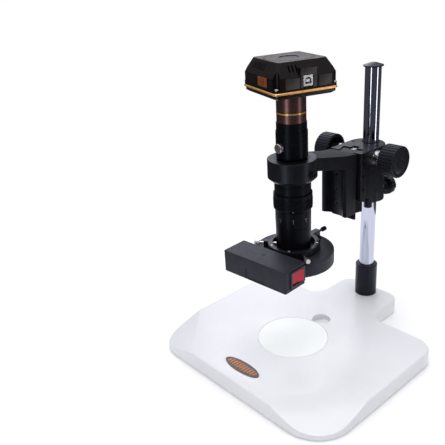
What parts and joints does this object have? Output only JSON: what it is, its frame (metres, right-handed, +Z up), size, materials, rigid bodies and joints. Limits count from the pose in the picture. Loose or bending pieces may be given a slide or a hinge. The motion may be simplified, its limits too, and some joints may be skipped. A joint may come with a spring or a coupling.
{
  "type": "video inspection microscope",
  "caption": "Pillar-stand video microscope: vertical zoom lens with a square camera on top, rack focus arm, ring light with a switch box, and a wide white base with a stage plate.",
  "frame": {"origin": "on the floor below the middle of the overall bounding box", "axes": "+Z up the pillar, -Y towards the user at the front edge of the base, +X to the user's right"},
  "size_m": [0.35, 0.3892, 0.4598],
  "materials": {
    "base_paint": "white enamel, satin, fine texture",
    "sheet_paint": "matt",
    "small_steel": "satin",
    "foot_rubber": "matt",
    "badge": "gloss with a metallic rim",
    "stage_white": "satin",
    "socket_black": "satin",
    "post_chrome": "polished",
    "bolt_steel": "dull",
    "cap_black": "gloss",
    "liner_brass": "satin",
    "housing_black": "black enamel, satin",
    "bush_chrome": "polished",
    "gib_brass": "satin",
    "stud_steel": "satin",
    "clamp_plastic": "satin",
    "gear_brass": "machined",
    "knob_plastic": "satin",
    "arm_black": "black enamel, satin",
    "slide_black": "black anodised",
    "rack_steel": "machined",
    "screw_black": "black oxide",
    "barrel_black": "black anodised, satin",
    "cell_black": "black anodised, matt",
    "lens_glass": "coated",
    "ring_black": "black anodised",
    "thumb_chrome": "polished",
    "nose_bronze": "bronze anodised, satin",
    "gold": "polished",
    "camera_dark": "gloss black",
    "camera_gloss": "gloss",
    "port_metal": "tinned",
    "port_white": "matt",
    "board_green": "lacquered",
    "sensor": "gloss",
    "light_charcoal": "fine texture",
    "lamp_white": "milky glass",
    "window_frost": "frosted",
    "collar_black": "satin",
    "bezel_black": "gloss",
    "rocker_red": "gloss",
    "board_brown": "matt",
    "gland_rubber": "matt"
  },
  "bodies": {
    "base": {"base_casting": "base_paint", "bottom_plate": "sheet_paint", "bottom_screws": "small_steel", "rubber_feet": "foot_rubber", "badge_plate": "badge", "post_socket": "socket_black", "post": "post_chrome", "post_bolt": "bolt_steel", "post_cap": "cap_black"},
    "stage": {"stage_plate": "stage_white"},
    "post_bush": {"post_bush": "liner_brass"},
    "focus_block": {"focus_housing": "housing_black", "pinion_bush_right": "bush_chrome", "pinion_bush_left": "bush_chrome", "gib_strip": "gib_brass", "gib_screws": "screw_black"},
    "clamp": {"clamp_knob": "clamp_plastic", "clamp_stud": "stud_steel"},
    "pinion": {"pinion_shaft": "stud_steel", "pinion_gear": "gear_brass", "focus_knob_right": "knob_plastic", "focus_knob_left": "knob_plastic"},
    "carriage": {"arm_casting": "arm_black", "slide_plate": "slide_black", "rack_strip": "rack_steel", "slide_screws": "screw_black", "ring_clamp_screw": "screw_black"},
    "lens": {"lens_coupler": "barrel_black", "upper_barrel": "barrel_black", "lower_barrel": "barrel_black", "objective_cell": "cell_black", "objective_glass": "lens_glass"},
    "zoom_ring": {"zoom_ring": "ring_black"},
    "zoom_front": {"zoom_cell_front": "cell_black", "zoom_glass_front": "lens_glass"},
    "zoom_rear": {"zoom_cell_rear": "cell_black", "zoom_glass_rear": "lens_glass"},
    "coupler_screw": {"coupler_thumbscrew": "thumb_chrome"},
    "camera": {"camera_nose": "nose_bronze", "nose_ring": "gold", "camera_base_shell": "camera_dark", "camera_trim": "gold", "camera_cover": "camera_gloss", "camera_screws": "small_steel", "usb_shell": "port_metal", "usb_tongue": "port_white", "camera_board": "board_green", "image_sensor": "sensor"},
    "ring_light": {"light_housing": "light_charcoal", "light_box_cover": "light_charcoal", "ring_lamp": "lamp_white", "lamp_window": "window_frost", "light_collar": "collar_black", "rocker_bezel": "bezel_black", "ballast_board": "board_brown", "lead_gland": "gland_rubber"},
    "rocker": {"rocker_switch": "rocker_red"},
    "light_screw_front": {"light_thumbscrew_front": "thumb_chrome"},
    "light_screw_left": {"light_thumbscrew_left": "thumb_chrome"},
    "light_screw_rear": {"light_thumbscrew_rear": "screw_black"}
  },
  "joints": [
    {"name": "stage_plate_lift", "type": "slide", "parent": "base", "child": "stage", "axis": [0, 0, 1], "range_m": [0, 0.03]},
    {"name": "post_slide", "type": "slide", "parent": "base", "child": "post_bush", "axis": [0, 0, 1], "range_m": [-0.1, 0.11]},
    {"name": "post_swing", "type": "hinge", "parent": "post_bush", "child": "focus_block", "pos_m": [0, 0.1393, 0.26], "axis": [0, 0, 1], "range_deg": [-180, 180]},
    {"name": "clamp_knob_turn", "type": "hinge", "parent": "focus_block", "child": "clamp", "pos_m": [0, 0.1893, 0.214], "axis": [0, 1, 0], "range_deg": [0, 360]},
    {"name": "focus_rack", "type": "slide", "parent": "focus_block", "child": "carriage", "axis": [0, 0, 1], "range_m": [-0.01, 0.045]},
    {"name": "focus_turn", "type": "hinge", "parent": "focus_block", "child": "pinion", "pos_m": [0, 0.1114, 0.288], "axis": [1, 0, 0], "range_deg": [-290, 66]},
    {"name": "lens_turn", "type": "hinge", "parent": "carriage", "child": "lens", "pos_m": [0, -0.0468, 0.3], "axis": [0, 0, 1], "range_deg": [-180, 180]},
    {"name": "zoom_turn", "type": "hinge", "parent": "lens", "child": "zoom_ring", "pos_m": [0, -0.0468, 0.26], "axis": [0, 0, 1], "range_deg": [-65, 65]},
    {"name": "zoom_front_slide", "type": "slide", "parent": "lens", "child": "zoom_front", "axis": [0, 0, 1], "range_m": [-0.008, 0.008]},
    {"name": "zoom_rear_slide", "type": "slide", "parent": "lens", "child": "zoom_rear", "axis": [0, 0, 1], "range_m": [-0.005, 0.005]},
    {"name": "coupler_screw_turn", "type": "hinge", "parent": "lens", "child": "coupler_screw", "pos_m": [0, -0.0728, 0.3415], "axis": [0, -1, 0], "range_deg": [0, 360]},
    {"name": "camera_turn", "type": "hinge", "parent": "lens", "child": "camera", "pos_m": [0, -0.0468, 0.39], "axis": [0, 0, 1], "range_deg": [-180, 180]},
    {"name": "light_turn", "type": "hinge", "parent": "lens", "child": "ring_light", "pos_m": [0, -0.0468, 0.185], "axis": [0, 0, 1], "range_deg": [-180, 180]},
    {"name": "light_screw_front_turn", "type": "hinge", "parent": "ring_light", "child": "light_screw_front", "pos_m": [0.05047, -0.07455, 0.1875], "axis": [0.8763, -0.4818, 0], "range_deg": [0, 360]},
    {"name": "light_screw_left_turn", "type": "hinge", "parent": "ring_light", "child": "light_screw_left", "pos_m": [-0.04694, -0.07752, 0.1875], "axis": [-0.8368, -0.5476, 0], "range_deg": [0, 360]},
    {"name": "light_screw_rear_turn", "type": "hinge", "parent": "ring_light", "child": "light_screw_rear", "pos_m": [-0.00149, 0.02428, 0.1875], "axis": [-0.0209, 0.9998, 0], "range_deg": [0, 360]},
    {"name": "rocker_tip", "type": "hinge", "parent": "ring_light", "child": "rocker", "pos_m": [0.05952, -0.10637, 0.1784], "axis": [0, 0, 1], "range_deg": [0, 16]}
  ],
  "couplings": [
    {"joint": "focus_turn", "follows": "focus_rack", "rad_per_m": -111.11},
    {"joint": "zoom_front_slide", "follows": "zoom_turn", "m_per_rad": 0.007},
    {"joint": "zoom_rear_slide", "follows": "zoom_turn", "m_per_rad": -0.0044}
  ]
}
